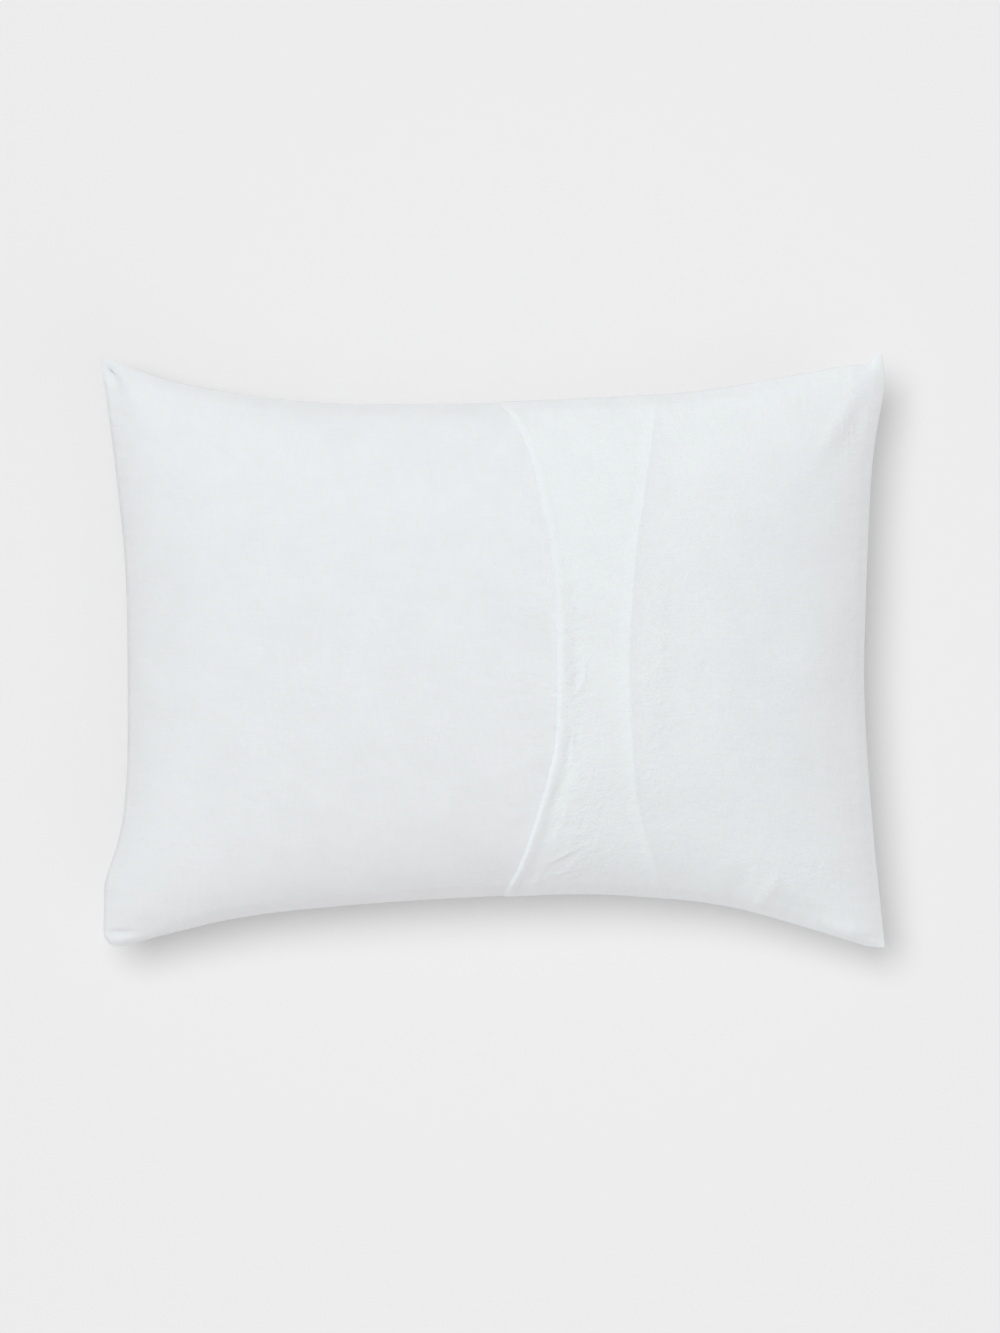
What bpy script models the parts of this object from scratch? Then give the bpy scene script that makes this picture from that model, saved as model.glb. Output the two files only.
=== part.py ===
"""A pillowcase filled out by its pillow, lying on its front with the envelope side up.

Metres, +Z up, origin on the floor under the middle of the case. +X runs along the long
side towards the seam that carries the flap, +Y across it. Three cut pieces of cloth:

  filled_front  the front panel, filled out: one solid from the floor to the back cloth
  back_panel    the long back panel, whose hem is hidden under the flap
  back_flap     the short back panel, whose double hem lies free across the middle

All three follow one surface. It is worked out on one grid of points, whose columns run
along both hems, so the cloths lie on each other face to face, a gap apart.
"""

import bmesh
import bpy
import numpy as np

# ---- The cloth ----------------------------------------------------------------------
# Laid flat, the case is 0.800 by 0.600 between its seams. Its sides, crown and belly
# below keep to that length of cloth along every row and column, within 3%.
CLOTH = 0.0015  # one layer, with the softness of its surface
HEM = 0.015  # width of a double-turned hem
HEM_CLOTH = 0.0030  # thickness of the hem's three layers
TURN = 0.0020  # the hem's inner step down to the single cloth
GAP = 0.0003  # between cloths that touch

# ---- How the filled case lies ------------------------------------------------------
SEAM_HEIGHT = 0.084  # of the seam, half way along each side
CORNER_DROP = 0.010  # the empty corners sink this far
CORNER_POWER = 3  # how closely that drop keeps to the corners
RIM = 0.0024  # thickness of the sewn edge
SEWN = 0.12  # how full the case is where its layers have spread from the sewn edge
CROWN = 0.104  # of the back above the seam
BELLY = 0.122  # of the front below the seam, if the floor did not flatten it
FLOOR_BLEND = 0.016  # height over which the front curves into its flat rest
ROUNDING = {"along": (2.5, 0.64), "across": (2.4, 0.53)}  # see fullness()

# ---- Finish -------------------------------------------------------------------------
ROUGHNESS = 0.90
COLOURS = {
    "filled_front": (0.80, 0.81, 0.81),
    "back_panel": (0.82, 0.83, 0.83),
    "back_flap": (0.83, 0.84, 0.84),
}
SHARP_ANGLE = np.radians(50)  # edges sharper than this are not shaded smooth

# ---- Outline, hems, grid and folds --------------------------------------------------
# The corners of the seam line. The filling draws them in from the flat case's own.
CORNERS = {
    "lower_left": (-0.3935, -0.2975),
    "lower_right": (0.3973, -0.2995),
    "upper_left": (-0.3975, 0.2993),
    "upper_right": (0.3952, 0.2993),
}

# How each side is drawn in between its corners: by "sag" at most, at the share
# "deepest" of the way along it, with the powers of the two curves that lead there.
# "starts" is the share that stays straight, as at the corner that stands out.
SIDES = {
    "top": {"sag": 0.048, "deepest": 0.40, "first": 2.2, "last": 2.1, "starts": 0.0},
    "bottom": {"sag": 0.052, "deepest": 0.60, "first": 2.2, "last": 1.8, "starts": 0.0},
    "left": {"sag": 0.0245, "deepest": 0.43, "first": 3.2, "last": 1.8, "starts": 0.11},
    "right": {"sag": 0.0205, "deepest": 0.45, "first": 1.6, "last": 1.85, "starts": 0.0},
}

# The two hems that cross the back: x at the lower seam, in the middle and at the upper
# seam, and the powers of the curves that lead from the middle to each seam.
HEMS = {
    "flap": {"lower": 0.012, "middle": 0.0665, "upper": 0.003, "down": 2.3, "up": 3.2},
    "panel": {"lower": 0.171, "middle": 0.1405, "upper": 0.170, "down": 2.7, "up": 1.45},
}
FLAP_LIFT = 0.0022  # the free hem stands off the cloth below it, most in the middle
LIFT_REACH = 0.070  # how far back from the hem that lift runs
STEP_RUN = 0.014  # over which the flap comes down off the hidden hem
STEP_CLEARANCE = 0.0012  # between the flap and the hidden hem's edge

# Columns of grid points, from the left seam to the right: each row names the line it
# leads to, its distance from that line, the steps to it and how they crowd at the start.
COLUMNS = (
    {"line": "flap", "offset": 0.0, "steps": 17, "crowd": 1.5},
    {"line": "flap", "offset": HEM, "steps": 1, "crowd": 1.0},
    {"line": "flap", "offset": HEM + TURN, "steps": 1, "crowd": 1.0},
    {"line": "panel", "offset": -HEM - TURN, "steps": 2, "crowd": 1.0},
    {"line": "panel", "offset": -HEM, "steps": 1, "crowd": 1.0},
    {"line": "panel", "offset": 0.0, "steps": 1, "crowd": 1.0},
    {"line": "panel", "offset": STEP_RUN, "steps": 1, "crowd": 1.0},
    {"line": "right", "offset": 0.0, "steps": 11, "crowd": 1 / 1.5},
)
ROWS = 31  # steps across the case
ROW_CROWD = 0.55  # 0 for even rows, 1 for rows that crowd fully at the seams
FINE_STEPS = 2000  # along a row, to find where a hem crosses it

# Soft folds and swells of the back: place, half length and half width, the angle of
# the length, and the height, which is negative for a trough.
FOLDS = (
    {"x": 0.356, "y": 0.245, "long": 0.075, "wide": 0.020, "angle": 55, "height": 0.007},
    {"x": 0.322, "y": 0.262, "long": 0.050, "wide": 0.018, "angle": 48, "height": -0.005},
    {"x": 0.320, "y": -0.262, "long": 0.040, "wide": 0.020, "angle": -20, "height": -0.007},
    {"x": 0.270, "y": -0.243, "long": 0.038, "wide": 0.018, "angle": -58, "height": 0.005},
    {"x": -0.372, "y": -0.272, "long": 0.050, "wide": 0.020, "angle": 20, "height": -0.006},
    {"x": -0.375, "y": 0.268, "long": 0.040, "wide": 0.018, "angle": -60, "height": -0.006},
    {"x": -0.345, "y": 0.245, "long": 0.060, "wide": 0.022, "angle": -40, "height": 0.004},
    {"x": 0.079, "y": -0.035, "long": 0.110, "wide": 0.016, "angle": 90, "height": -0.003},
    {"x": 0.055, "y": -0.228, "long": 0.045, "wide": 0.016, "angle": 35, "height": -0.004},
    {"x": -0.120, "y": 0.090, "long": 0.160, "wide": 0.110, "angle": 0, "height": 0.004},
    {"x": 0.230, "y": -0.060, "long": 0.120, "wide": 0.100, "angle": 0, "height": 0.003},
    {"x": -0.220, "y": -0.120, "long": 0.130, "wide": 0.090, "angle": 0, "height": -0.003},
)


def drawn_in(share, side):
    """How far a side lies inside its straight chord, at shares 0 to 1 of its length.

    Sag times one minus the distance from the deepest place, as a share of the stretch
    that it lies in, raised to that stretch's power.
    """
    before = (side["deepest"] - share) / (side["deepest"] - side["starts"])
    after = (share - side["deepest"]) / (1 - side["deepest"])
    first = np.clip(before, 0, 1) ** side["first"]
    last = np.clip(after, 0, 1) ** side["last"]
    return side["sag"] * (1 - first - last)


def seam_point(side_name, share):
    """Points of one side of the seam line, from its left or lower corner."""
    corners = {
        "top": ("upper_left", "upper_right"),
        "bottom": ("lower_left", "lower_right"),
        "left": ("lower_left", "upper_left"),
        "right": ("lower_right", "upper_right"),
    }
    inwards = {"top": (0, -1), "bottom": (0, 1), "left": (1, 0), "right": (-1, 0)}
    start, end = (np.array(CORNERS[name]) for name in corners[side_name])
    share = np.asarray(share)[..., None]
    chord = start + (end - start) * share
    return chord + drawn_in(share, SIDES[side_name]) * np.array(inwards[side_name])


def plan(u, v):
    """The point of the case at shares u along it and v across it, seen from above.

    A Coons patch: the blend of the two long sides plus the blend of the two short
    sides, less the blend of the four corners that both of them hold.
    """
    u, v = np.broadcast_arrays(u, v)
    weight_u, weight_v = u[..., None], v[..., None]
    between_long = (1 - weight_v) * seam_point("bottom", u) + weight_v * seam_point("top", u)
    between_short = (1 - weight_u) * seam_point("left", v) + weight_u * seam_point("right", v)
    lower = (1 - weight_u) * np.array(CORNERS["lower_left"])
    lower = lower + weight_u * np.array(CORNERS["lower_right"])
    upper = (1 - weight_u) * np.array(CORNERS["upper_left"])
    upper = upper + weight_u * np.array(CORNERS["upper_right"])
    return between_long + between_short - (1 - weight_v) * lower - weight_v * upper


def hem_line(name, v):
    """x of a hem at each share v across the case."""
    hem = HEMS[name]
    t = 2 * v - 1
    to_seam = np.where(t < 0, np.abs(t) ** hem["down"], np.abs(t) ** hem["up"])
    seam_x = np.where(t < 0, hem["lower"], hem["upper"])
    return hem["middle"] + (seam_x - hem["middle"]) * to_seam


def row_shares():
    """Shares across the case, even ones blended with ones that crowd at the seams."""
    even = np.linspace(0, 1, ROWS + 1)
    crowded = (1 - np.cos(np.pi * even)) / 2
    return even + ROW_CROWD * (crowded - even)


def grid_shares():
    """(rows, columns) shares u and v, and the column at which each break falls."""
    v = row_shares()
    fine = np.linspace(0, 1, FINE_STEPS + 1)
    along_row = plan(fine[None, :], v[:, None])[..., 0]

    def line_share(line, offset):
        if line == "right":
            return np.ones_like(v)
        wanted = hem_line(line, v) + offset
        return np.array([np.interp(x, row, fine) for x, row in zip(wanted, along_row)])

    columns = [np.zeros_like(v)]
    breaks = []
    for column in COLUMNS:
        start = columns[-1]
        end = line_share(column["line"], column["offset"])
        for step in range(1, column["steps"] + 1):
            share = (step / column["steps"]) ** column["crowd"]
            columns.append(start + (end - start) * share)
        breaks.append(len(columns) - 1)
    u = np.stack(columns, axis=1)
    return u, np.repeat(v[:, None], u.shape[1], axis=1), breaks


def fullness(u, v):
    """How full the case is at each point, from 0 on the seam line to 1 in the middle.

    Along and across, (1 - |s|^power)^root with s from -1 to 1; the two are multiplied.
    A root under 1 makes the cloth leave the seam steeply, as a filled case does.
    """
    total = 1.0
    for share, way in ((u, "along"), (v, "across")):
        power, root = ROUNDING[way]
        total = total * (1 - np.abs(2 * share - 1) ** power) ** root
    return total


def folds(x, y):
    """Height of the soft folds and swells: a sum of stretched and turned bells."""
    height = np.zeros_like(x)
    for fold in FOLDS:
        angle = np.radians(fold["angle"])
        east, north = x - fold["x"], y - fold["y"]
        along = east * np.cos(angle) + north * np.sin(angle)
        across = north * np.cos(angle) - east * np.sin(angle)
        bell = np.exp(-((along / fold["long"]) ** 2) - (across / fold["wide"]) ** 2)
        height += fold["height"] * bell
    return height


def spread(full):
    """0 on the sewn edge, where the layers are pressed together, to 1 past it."""
    return np.clip(full / SEWN, 0, 1)


def soft_floor(height):
    """Heights held above the floor, flat at 0 and blended by a parabola near it."""
    near = np.clip((height + FLOOR_BLEND) / (2 * FLOOR_BLEND), 0, 1)
    return np.where(height > FLOOR_BLEND, height, FLOOR_BLEND * near**2)


def case_surfaces(u, v):
    """The front's outer surface and the filling's upper surface, as grids of points."""
    ground = plan(u, v)
    x, y = ground[..., 0], ground[..., 1]
    corner = (np.abs(2 * u - 1) * np.abs(2 * v - 1)) ** CORNER_POWER
    seam = SEAM_HEIGHT - CORNER_DROP * corner
    full = fullness(u, v)
    front = soft_floor(seam - RIM / 2 - BELLY * full)
    back = seam + RIM / 2 + CROWN * full + folds(x, y) * spread(full)
    return np.dstack([x, y, front]), np.dstack([x, y, back])


def outward_normals(surface):
    """Unit normals of a grid of points, from the cross product of its two directions."""
    along = np.gradient(surface, axis=1)
    across = np.gradient(surface, axis=0)
    normal = np.cross(along, across)
    return normal / np.linalg.norm(normal, axis=2, keepdims=True)


def cloth_material(name):
    """The matt woven cloth of one piece."""
    material = bpy.data.materials.new(name + "_cloth")
    material.use_nodes = True
    shader = material.node_tree.nodes["Principled BSDF"]
    shader.inputs["Base Color"].default_value = (*COLOURS[name], 1)
    shader.inputs["Roughness"].default_value = ROUGHNESS
    shader.inputs["Metallic"].default_value = 0
    return material


def add_layer(mesh, points):
    """Add one grid of faces through the points, each split along the same diagonal."""
    rows, columns, _ = points.shape
    first_face = len(mesh.faces)
    grid = bmesh.ops.create_grid(mesh, x_segments=columns - 1, y_segments=rows - 1, size=1)
    for vertex, place in zip(grid["verts"], points.reshape(-1, 3)):
        vertex.co = place
    bmesh.ops.triangulate(mesh, faces=mesh.faces[first_face:], quad_method="FIXED")


def closed_cloth(name, lower, upper):
    """One closed piece between two grids of points, bridged round its rim."""
    mesh = bmesh.new()
    add_layer(mesh, lower)
    add_layer(mesh, upper)
    rims = [edge for edge in mesh.edges if edge.is_boundary]
    bmesh.ops.bridge_loops(mesh, edges=rims)
    bmesh.ops.recalc_face_normals(mesh, faces=mesh.faces)
    data = bpy.data.meshes.new(name)
    mesh.to_mesh(data)
    mesh.free()
    data.shade_smooth()
    data.set_sharp_from_angle(angle=SHARP_ANGLE)
    data.materials.append(cloth_material(name))
    piece = bpy.data.objects.new(name, data)
    bpy.context.scene.collection.objects.link(piece)
    return piece


def build():
    for old in list(bpy.data.objects):
        bpy.data.objects.remove(old)

    u, v, breaks = grid_shares()
    free_edge, hem_inner, _, _, panel_inner, panel_edge, _, _ = breaks
    front, back = case_surfaces(u, v)
    normal = outward_normals(back)

    def lifted(height):
        """The back surface moved outwards by a height for each grid point."""
        return back + normal * height[..., None]

    # The long back panel: one cloth, three layers in its hem.
    loose = spread(fullness(u, v))
    hem_thickness = CLOTH + (HEM_CLOTH - CLOTH) * loose
    columns = np.arange(u.shape[1])
    panel_lower = np.full_like(u, GAP)
    panel_upper = panel_lower + np.where(columns >= panel_inner, hem_thickness, CLOTH)

    # The flap: on the panel up to the panel's edge, then down onto the filled front.
    from_edge = back[..., 0] - hem_line("flap", v)
    lift = FLAP_LIFT * loose * np.clip(1 - from_edge / LIFT_REACH, 0, 1) ** 2
    over_hem = (columns >= panel_inner) & (columns <= panel_edge)
    lift = lift + np.where(over_hem, STEP_CLEARANCE * loose, 0)
    flap_lower = np.where(columns <= panel_edge, panel_upper, 0) + GAP + lift
    flap_upper = flap_lower + np.where(columns <= hem_inner, hem_thickness, CLOTH)

    panel = slice(0, panel_edge + 1)
    flap = slice(free_edge, None)
    closed_cloth("filled_front", front, back)
    closed_cloth("back_panel", lifted(panel_lower)[:, panel], lifted(panel_upper)[:, panel])
    closed_cloth("back_flap", lifted(flap_lower)[:, flap], lifted(flap_upper)[:, flap])


build()
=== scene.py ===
# %% [markdown]
# # A filled pillowcase, envelope side up
#
# The real thing is three cut pieces of washed, matt white cloth: a front panel, a long
# back panel and a short flap that laps over it. They are sewn together round the edge
# and filled out by a pillow. It lies on its front, so the flap's free hem is on top.
#
# A pillow could be sculpted by hand, or be one inflated mesh with the hems painted on.
# Here Blender's Cloth inflates the closed case first, because pressure inside a cloth of
# fixed length gives the true crown. The back panel and the flap are then laid over that
# crown as thin cloths of their own, with hems that are really turned.

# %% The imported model, as a fixed frame
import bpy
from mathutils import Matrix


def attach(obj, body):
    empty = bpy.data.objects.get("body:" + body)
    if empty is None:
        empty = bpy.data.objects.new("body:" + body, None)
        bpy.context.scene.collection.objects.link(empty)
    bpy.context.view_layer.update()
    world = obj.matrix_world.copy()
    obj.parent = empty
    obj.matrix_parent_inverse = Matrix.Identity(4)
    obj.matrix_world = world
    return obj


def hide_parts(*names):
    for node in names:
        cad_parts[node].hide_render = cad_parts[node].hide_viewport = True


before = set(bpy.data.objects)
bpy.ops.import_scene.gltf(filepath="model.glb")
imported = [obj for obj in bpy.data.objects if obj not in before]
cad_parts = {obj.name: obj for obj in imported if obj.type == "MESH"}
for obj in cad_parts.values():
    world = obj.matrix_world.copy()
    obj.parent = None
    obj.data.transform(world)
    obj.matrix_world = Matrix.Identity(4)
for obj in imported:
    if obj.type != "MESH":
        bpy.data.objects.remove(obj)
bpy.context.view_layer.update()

import math

import bpy
import numpy as np

# %% [markdown]
# ## Colours and a helper for nodes
#
# Colours are written as sRGB hex values, as a paint program shows them. Blender's
# shaders count light linearly, so one function converts each of them. One more helper
# adds a shader node with its settings and links, so that a material reads as a list.


# %% Colours and nodes
def linear(hex_colour):
    """An sRGB hex colour as linear RGBA: ((c + 0.055) / 1.055) to the power 2.4."""
    channels = [int(hex_colour[i : i + 2], 16) / 255 for i in (1, 3, 5)]
    return (*(((c + 0.055) / 1.055) ** 2.4 for c in channels), 1.0)


def add_node(tree, kind, inputs=None, **settings):
    """Add one node. inputs maps a socket to a value, or to the output that feeds it."""
    made = tree.nodes.new(kind)
    for name, value in settings.items():
        setattr(made, name, value)
    for name, value in (inputs or {}).items():
        if isinstance(value, bpy.types.NodeSocket):
            tree.links.new(value, made.inputs[name])
        else:
            made.inputs[name].default_value = value
    return made


def new_material(name):
    """A material and its node tree, which has no nodes yet."""
    material = bpy.data.materials.new(name)
    material.use_nodes = True
    material.node_tree.nodes.clear()
    return material, material.node_tree


print("half way to white in sRGB, linear:", round(linear("#808080")[0], 3))

# %% [markdown]
# ## Washed cotton and linen cloth
#
# The cloth is a plain weave of cotton and linen, washed without ironing. Linen yarn is
# uneven, so some threads swell into slubs a few centimetres long, both along and across
# the cloth. Washing leaves it matt, a little fuzzy and faintly crumpled. To the eye that
# is a white with almost no gloss, fine broken lines both ways and soft mottling.
#
# The pattern could be an image, but nodes stay sharp at any distance. It reads the
# cloth's own UV map, which is measured in metres along the threads, so the weave follows
# every curve. A thread is about 0.45 mm wide, which is finer than the picture's pixels
# of 1 mm, so the weave is drawn at twice that pitch and the slubs at 1.4 mm.

# %% Patterns of the cloth
THREAD_PITCH = 0.0009  # metres from thread to thread, twice the real pitch
GRAINS = {  # of each noise: metres along and across the weft, detail and roughness
    "weft_slubs": (0.0260, 0.0014, 2, 0.50),
    "warp_slubs": (0.0014, 0.0260, 2, 0.50),
    "crumples": (0.0110, 0.0088, 4, 0.60),
    "mottle": (0.0500, 0.0500, 3, 0.55),
}
WAVE_UNIT = 20  # the Wave texture multiplies every place by this


def cloth_patterns(tree):
    """The outputs of the cloth's patterns by name, drawn on its own thread map.

    A noise reads its place divided by the size of its grains, and the sine wave of the
    threads repeats once every pitch. Both run from 0 to 1. How crumpled the cloth is at
    each place comes from its mesh.
    """
    thread_map = add_node(tree, "ShaderNodeUVMap", uv_map="cloth").outputs["UV"]
    crumpled = add_node(tree, "ShaderNodeAttribute", attribute_name="crumpled")
    drawn = {"crumpled": crumpled.outputs["Fac"]}
    for pattern, (along, across, detail, roughness) in GRAINS.items():
        scaling = {"Vector": thread_map, "Scale": (1 / along, 1 / across, 1)}
        scaled = add_node(tree, "ShaderNodeMapping", scaling).outputs["Vector"]
        grains = {"Vector": scaled, "Scale": 1.0, "Detail": detail, "Roughness": roughness}
        drawn[pattern] = add_node(tree, "ShaderNodeTexNoise", grains).outputs["Fac"]
    for pattern, direction in (("warp", "X"), ("weft", "Y")):
        wave = add_node(
            tree,
            "ShaderNodeTexWave",
            {"Vector": thread_map, "Scale": 2 * math.pi / (WAVE_UNIT * THREAD_PITCH)},
            bands_direction=direction,
            wave_profile="SIN",
        )
        drawn[pattern] = wave.outputs["Fac"]
    return drawn


print("threads to a centimetre, as drawn:", round(0.01 / THREAD_PITCH, 1))

# %% Cloth material
PALENESS = {"base": 0.02, "mottle": 0.55, "slubs": 0.30}  # shares of the lighter white
RELIEF = {"weave": 0.00010, "slubs": 0.00022, "crumples": 0.0018}  # heights in metres
ARITHMETIC = (  # result, operation, and what goes in: patterns, results or numbers
    ("slubs", "ADD", "weft_slubs", "warp_slubs"),
    ("weave", "MULTIPLY", "warp", "weft"),
    ("creases", "MULTIPLY", "crumples", "crumpled"),
    ("pale", "MULTIPLY_ADD", "mottle", PALENESS["mottle"], PALENESS["base"]),
    ("pale", "MULTIPLY_ADD", "slubs", PALENESS["slubs"], "pale"),
    ("height", "MULTIPLY", "weave", RELIEF["weave"]),
    ("height", "MULTIPLY_ADD", "slubs", RELIEF["slubs"], "height"),
    ("height", "MULTIPLY_ADD", "creases", RELIEF["crumples"], "height"),
)


def cloth_material(name, light, shade):
    """Matt woven cloth between two near whites, with weave, slubs and crumples.

    The share of the lighter white is base + mottle + slubs, and the relief is weave +
    slubs + crumples, each of them a pattern times its value above.
    """
    material, tree = new_material(name)
    drawn = cloth_patterns(tree)
    for result, operation, *terms in ARITHMETIC:
        inputs = {i: drawn.get(term, term) for i, term in enumerate(terms)}
        made = add_node(tree, "ShaderNodeMath", inputs, operation=operation)
        drawn[result] = made.outputs[0]
    colour = add_node(
        tree,
        "ShaderNodeMix",
        {0: drawn["pale"], "A": linear(shade), "B": linear(light)},
        data_type="RGBA",
    )
    bump = add_node(
        tree,
        "ShaderNodeBump",
        {"Strength": 0.9, "Distance": 1.0, "Height": drawn["height"]},
    )
    shader = add_node(
        tree,
        "ShaderNodeBsdfPrincipled",
        {
            "Base Color": colour.outputs[2],
            "Roughness": 0.92,
            "Specular IOR Level": 0.2,
            "Sheen Weight": 0.12,
            "Sheen Roughness": 0.55,
            "Normal": bump.outputs["Normal"],
        },
    )
    add_node(tree, "ShaderNodeOutputMaterial", {"Surface": shader.outputs["BSDF"]})
    return material


washed_cloth = cloth_material("washed_cotton_linen", "#F1F1F3", "#E4E4E6")
print("cloth nodes:", len(washed_cloth.node_tree.nodes))

# %% [markdown]
# ## The seam line
#
# Laid flat the case is a rectangle of 800 by 600 mm. The filling draws its sides in,
# most near the middle, and leaves the corners standing out, because a corner has hardly
# any room to fill. No side is an even arc: the left one runs straight for a hand's
# width above its lower corner, and the others bulge a little before their corners. So a
# side is its straight chord moved inwards along a smooth curve through measured places.


# %% Smooth curve
def curve_through(places, t):
    """Smooth curve through (t, value) pairs, one Hermite cubic between each two.

    At share s of its step, a cubic is start (1 + 2s)(1 - s)^2 + end s^2 (3 - 2s), plus
    the slopes at both ends, which come from the neighbours, times s(1 - s)^2 and
    -s^2 (1 - s).
    """
    place, value = np.array(places).T
    slope = np.gradient(value, place)
    start = np.clip(np.searchsorted(place, t) - 1, 0, len(place) - 2)
    step = place[start + 1] - place[start]
    s = (t - place[start]) / step
    ends = value[start] * (1 + 2 * s) * (1 - s) ** 2 + value[start + 1] * s * s * (3 - 2 * s)
    bends = slope[start] * s * (1 - s) ** 2 - slope[start + 1] * s * s * (1 - s)
    return ends + step * bends


print("half way along a bend:", round(float(curve_through([(0, 0), (1, 2), (2, 2)], 0.5)), 3))

# %% Measured sides
CORNERS = {
    "lower_left": (-0.3935, -0.3000),
    "lower_right": (0.3983, -0.3010),
    "upper_left": (-0.3975, 0.2993),
    "upper_right": (0.3952, 0.2993),
}
SIDES = {  # share of the way along, and metres inside the chord
    "top": (
        (0.000, 0.0000), (0.015, 0.0049), (0.045, 0.0141), (0.085, 0.0255),
        (0.135, 0.0338), (0.220, 0.0441), (0.300, 0.0495), (0.400, 0.0496),
        (0.500, 0.0484), (0.580, 0.0462), (0.660, 0.0432), (0.730, 0.0394),
        (0.780, 0.0350), (0.830, 0.0284), (0.870, 0.0224), (0.920, 0.0155),
        (0.955, 0.0096), (0.985, 0.0035), (1.000, 0.0000),
    ),
    "bottom": (
        (0.000, 0.0000), (0.012, 0.0002), (0.030, 0.0025), (0.060, 0.0093),
        (0.100, 0.0175), (0.140, 0.0253), (0.200, 0.0338), (0.280, 0.0409),
        (0.360, 0.0462), (0.450, 0.0506), (0.530, 0.0536), (0.610, 0.0556),
        (0.690, 0.0530), (0.760, 0.0472), (0.810, 0.0405), (0.845, 0.0335),
        (0.880, 0.0253), (0.920, 0.0159), (0.955, 0.0073), (0.980, 0.0014),
        (1.000, 0.0000),
    ),
    "left": (
        (0.000, 0.0000), (0.030, -0.0010), (0.080, 0.0001), (0.105, 0.0006),
        (0.130, 0.0050), (0.170, 0.0131), (0.220, 0.0198), (0.280, 0.0236),
        (0.430, 0.0257), (0.520, 0.0258), (0.600, 0.0252), (0.660, 0.0236),
        (0.720, 0.0206), (0.800, 0.0155), (0.880, 0.0097), (0.950, 0.0040),
        (0.985, 0.0004), (1.000, 0.0000),
    ),
    "right": (
        (0.000, 0.0000), (0.060, 0.0038), (0.140, 0.0089), (0.250, 0.0145),
        (0.360, 0.0190), (0.470, 0.0206), (0.570, 0.0189), (0.680, 0.0160),
        (0.780, 0.0128), (0.850, 0.0085), (0.900, 0.0032), (0.930, -0.0005),
        (0.955, -0.0028), (0.972, -0.0026), (1.000, 0.0000),
    ),
}
SIDE_ENDS = {  # the two corners, and the way inwards
    "top": ("upper_left", "upper_right", (0, -1)),
    "bottom": ("lower_left", "lower_right", (0, 1)),
    "left": ("lower_left", "upper_left", (1, 0)),
    "right": ("lower_right", "upper_right", (-1, 0)),
}
for side_name, places in SIDES.items():
    print(side_name, "seam is drawn in by up to", max(inset for _, inset in places), "m")


# %% Plan of the case
def seam_point(side_name, share):
    """A side's chord, moved inwards by the curve through its measured places."""
    start_name, end_name, inwards = SIDE_ENDS[side_name]
    start, end = np.array(CORNERS[start_name]), np.array(CORNERS[end_name])
    share = np.asarray(share, float)
    inset = curve_through(SIDES[side_name], share)[..., None]
    return start + (end - start) * share[..., None] + inset * np.array(inwards)


def plan(u, v):
    """The case from above at shares u and v: a Coons patch between its four sides.

    It is the blend of the long sides plus the blend of the short sides, less the blend
    of the four corners, which both of them hold.
    """
    u, v = np.broadcast_arrays(u, v)
    along, across = u[..., None], v[..., None]
    corner = {name: np.array(place) for name, place in CORNERS.items()}
    long_sides = (1 - across) * seam_point("bottom", u) + across * seam_point("top", u)
    short_sides = (1 - along) * seam_point("left", v) + along * seam_point("right", v)
    lower = (1 - along) * corner["lower_left"] + along * corner["lower_right"]
    upper = (1 - along) * corner["upper_left"] + along * corner["upper_right"]
    return long_sides + short_sides - (1 - across) * lower - across * upper


middle_of_sides = plan(np.array([0, 1, 0.5, 0.5]), np.array([0.5, 0.5, 0, 1]))
print("middles of the sides:", middle_of_sides.round(4).tolist())

# %% [markdown]
# ## The case filled out
#
# A filled case is a closed bag of cloth that hardly stretches. Pressure rounds it until
# its threads, whose length is fixed, pull tight. A formula gives the first shape: a
# crown above the seam and a belly below it, each the product of two rounded curves.
# Blender's Cloth then settles that shape. Its springs take their rest length from a
# shape key that holds the flat case, its seam line is pinned where the photograph shows
# it, gravity is off because the filling carries the cloth, and no point may move further
# than a cap. The floor flattens the belly afterwards.

# %% Filled case: first shape
FLAT_SIZE = (0.800, 0.600)
SEAM_HEIGHT = 0.084
CORNER_DROP = 0.010
CORNER_POWER = 3
CROWN = 0.104
BELLY = 0.090
ROUNDING = {"along": (2.5, 0.64), "across": (2.4, 0.53)}
CELL = 0.010  # of the simulated cloth
FLOOR_BLEND = 0.012  # height over which the belly curves into its flat rest
SINK = 0.016  # how far the belly is pressed on the floor


def fullness(u, v):
    """0 on the seam to 1 in the middle: (1 - |s|^power)^root along, times the same across."""
    total = 1.0
    for share, way in ((u, "along"), (v, "across")):
        power, root = ROUNDING[way]
        total = total * (1 - np.abs(2 * share - 1) ** power) ** root
    return total


def seam_height(u, v):
    """Height of the seam, which drops towards the empty corners."""
    corner = (np.abs(2 * u - 1) * np.abs(2 * v - 1)) ** CORNER_POWER
    return SEAM_HEIGHT - CORNER_DROP * corner


def first_shape(u, v):
    """Back and front before settling: seam + crown * fullness, seam - belly * fullness."""
    ground = plan(u, v)
    seam, full = seam_height(u, v), fullness(u, v)
    back = np.dstack([ground, seam + CROWN * full])
    front = np.dstack([ground, seam - BELLY * full])
    return back, front


def quads(index):
    """Four-cornered faces between neighbours of a grid of vertex numbers."""
    around = [index[:-1, :-1], index[:-1, 1:], index[1:, 1:], index[1:, :-1]]
    return np.stack(around, axis=-1).reshape(-1, 4)


def new_object(name, points, faces):
    """An object with a smooth mesh of these points and faces, its place in the mesh."""
    mesh = bpy.data.meshes.new(name)
    mesh.from_pydata(points.tolist(), [], [list(map(int, face)) for face in faces])
    mesh.update()
    mesh.shade_smooth()
    made = bpy.data.objects.new(name, mesh)
    bpy.context.scene.collection.objects.link(made)
    return made


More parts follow.
